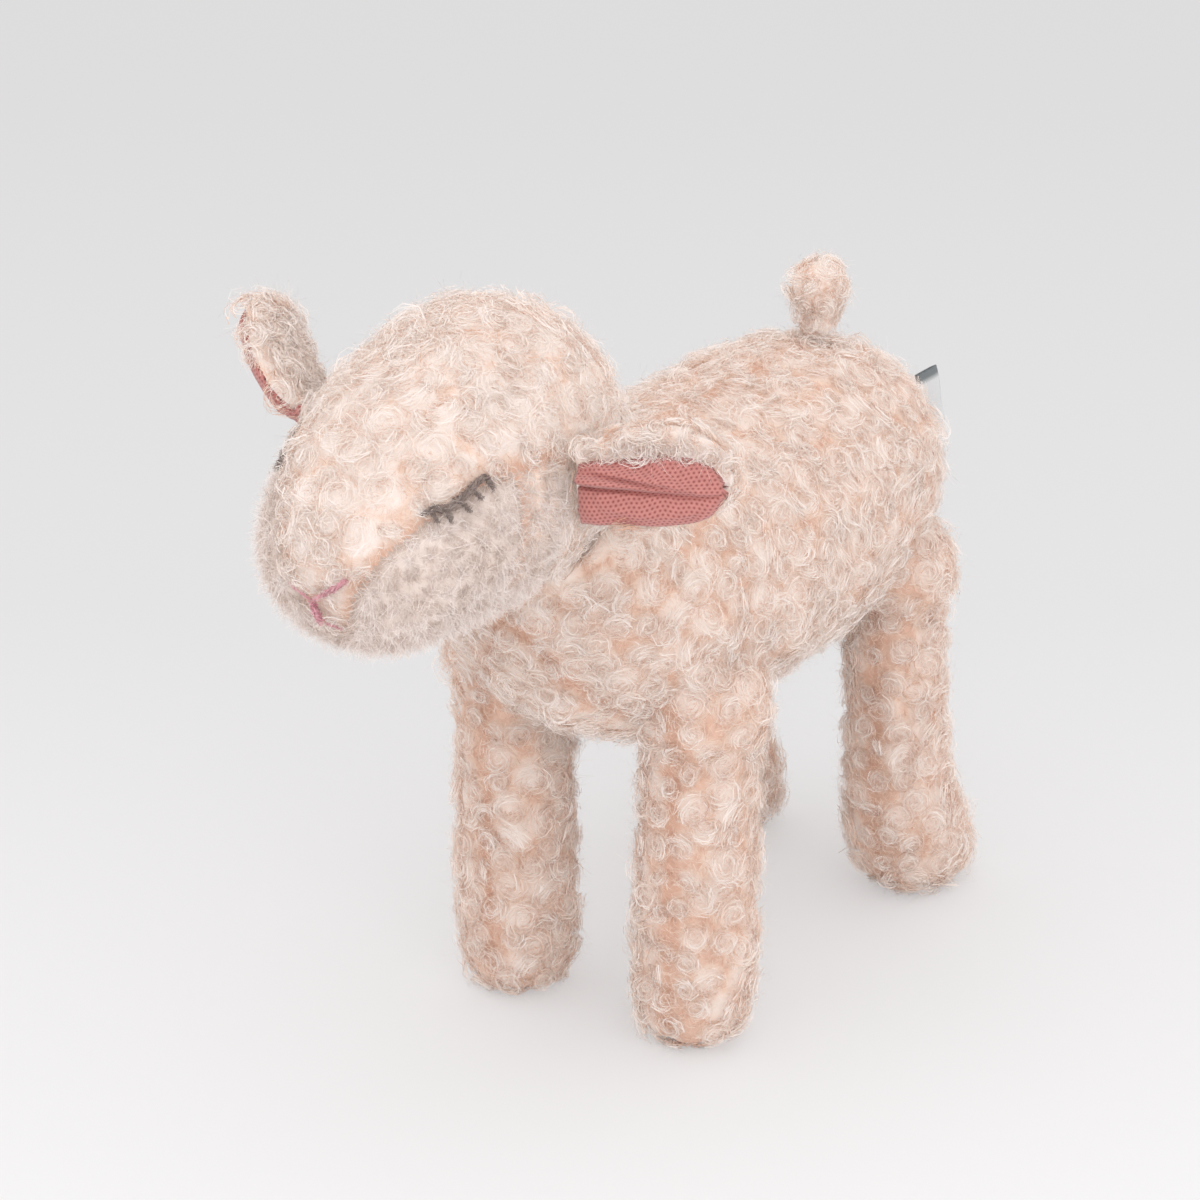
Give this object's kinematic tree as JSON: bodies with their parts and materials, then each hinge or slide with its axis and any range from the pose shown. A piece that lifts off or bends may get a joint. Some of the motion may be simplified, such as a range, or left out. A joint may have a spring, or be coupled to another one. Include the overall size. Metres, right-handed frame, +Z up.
{
  "type": "stuffed toy",
  "caption": "Stuffed sheep toy that stands on stubby legs: curly cloth body and head, brushed cheeks, lined ears, closed stitched eyes, pompon tail",
  "frame": {"origin": "on the surface it stands on, under the middle of the whole toy's box", "axes": "+Z up, the toy faces -Y, its left side is towards +X"},
  "size_m": [0.1312, 0.2504, 0.209],
  "materials": {
    "boucle": "curly cream-pink boucle plush",
    "brushed": "brushed greyish-cream plush",
    "lining": "dusty pink knit with a fine honeycomb",
    "filling": "loose white fibre filling",
    "lash": "dark brown-grey embroidery thread",
    "nose": "pink embroidery thread",
    "label": "satin ribbon, left bare"
  },
  "bodies": {
    "torso": {"body_side_left": "boucle", "body_side_right": "boucle", "belly_gusset": "boucle", "body_filling": "filling"},
    "neck": {"neck_filling": "filling"},
    "head": {"head_crown": "boucle", "head_cheek_left": "brushed", "head_cheek_right": "brushed", "head_nape_left": "boucle", "head_nape_right": "boucle", "head_filling": "filling", "eye_left_stitches": "lash", "eye_right_stitches": "lash", "nose_stitches": "nose"},
    "ear_left": {"ear_left_back": "boucle", "ear_left_lining": "lining"},
    "ear_right": {"ear_right_back": "boucle", "ear_right_lining": "lining"},
    "tail": {"tail_cover": "boucle", "tail_filling": "filling"},
    "label": {"label": "label"},
    "leg_front_left": {"leg_front_left_outer": "boucle", "leg_front_left_inner": "boucle", "leg_front_left_filling": "filling"},
    "leg_front_right": {"leg_front_right_outer": "boucle", "leg_front_right_inner": "boucle", "leg_front_right_filling": "filling"},
    "leg_hind_left": {"leg_hind_left_outer": "boucle", "leg_hind_left_inner": "boucle", "leg_hind_left_filling": "filling"},
    "leg_hind_right": {"leg_hind_right_outer": "boucle", "leg_hind_right_inner": "boucle", "leg_hind_right_filling": "filling"}
  },
  "joints": [
    {"name": "neck_turn", "type": "hinge", "parent": "torso", "child": "neck", "pos_m": [-0.00325, -0.06073, 0.1735], "axis": [0, -0.6428, 0.766], "range_deg": [-25, 25], "stiffness_Nm_per_rad": 0.15},
    {"name": "head_nod", "type": "hinge", "parent": "neck", "child": "head", "pos_m": [-0.00325, -0.06073, 0.1735], "axis": [1, 0, 0], "range_deg": [-10, 10], "stiffness_Nm_per_rad": 0.3},
    {"name": "leg_front_left_swing", "type": "hinge", "parent": "torso", "child": "leg_front_left", "pos_m": [0.02525, -0.00623, 0.094], "axis": [1, 0, 0], "range_deg": [-12, 12], "stiffness_Nm_per_rad": 0.2},
    {"name": "leg_hind_left_swing", "type": "hinge", "parent": "torso", "child": "leg_hind_left", "pos_m": [0.02375, 0.09177, 0.094], "axis": [1, 0, 0], "range_deg": [-12, 12], "stiffness_Nm_per_rad": 0.2},
    {"name": "leg_front_right_swing", "type": "hinge", "parent": "torso", "child": "leg_front_right", "pos_m": [-0.03175, -0.00623, 0.094], "axis": [1, 0, 0], "range_deg": [-12, 12], "stiffness_Nm_per_rad": 0.2},
    {"name": "leg_hind_right_swing", "type": "hinge", "parent": "torso", "child": "leg_hind_right", "pos_m": [-0.03025, 0.09177, 0.094], "axis": [1, 0, 0], "range_deg": [-12, 12], "stiffness_Nm_per_rad": 0.2},
    {"name": "ear_left_flap", "type": "hinge", "parent": "head", "child": "ear_left", "pos_m": [0.03416, -0.07288, 0.17872], "axis": [-0.1957, 0.2146, 0.9569], "range_deg": [-50, 15], "stiffness_Nm_per_rad": 0.01},
    {"name": "ear_right_flap", "type": "hinge", "parent": "head", "child": "ear_right", "pos_m": [-0.04061, -0.07298, 0.17901], "axis": [-0.0862, 0.9636, -0.2532], "range_deg": [-50, 15], "stiffness_Nm_per_rad": 0.01},
    {"name": "tail_wag", "type": "hinge", "parent": "torso", "child": "tail", "pos_m": [-0.00325, 0.09477, 0.15688], "axis": [0, 1, 0], "range_deg": [-30, 30], "stiffness_Nm_per_rad": 0.01},
    {"name": "label_flap", "type": "hinge", "parent": "torso", "child": "label", "pos_m": [0.01637, 0.11723, 0.13122], "axis": [-0.0875, -0.2323, 0.9687], "range_deg": [-50, 50], "stiffness_Nm_per_rad": 0.001}
  ]
}
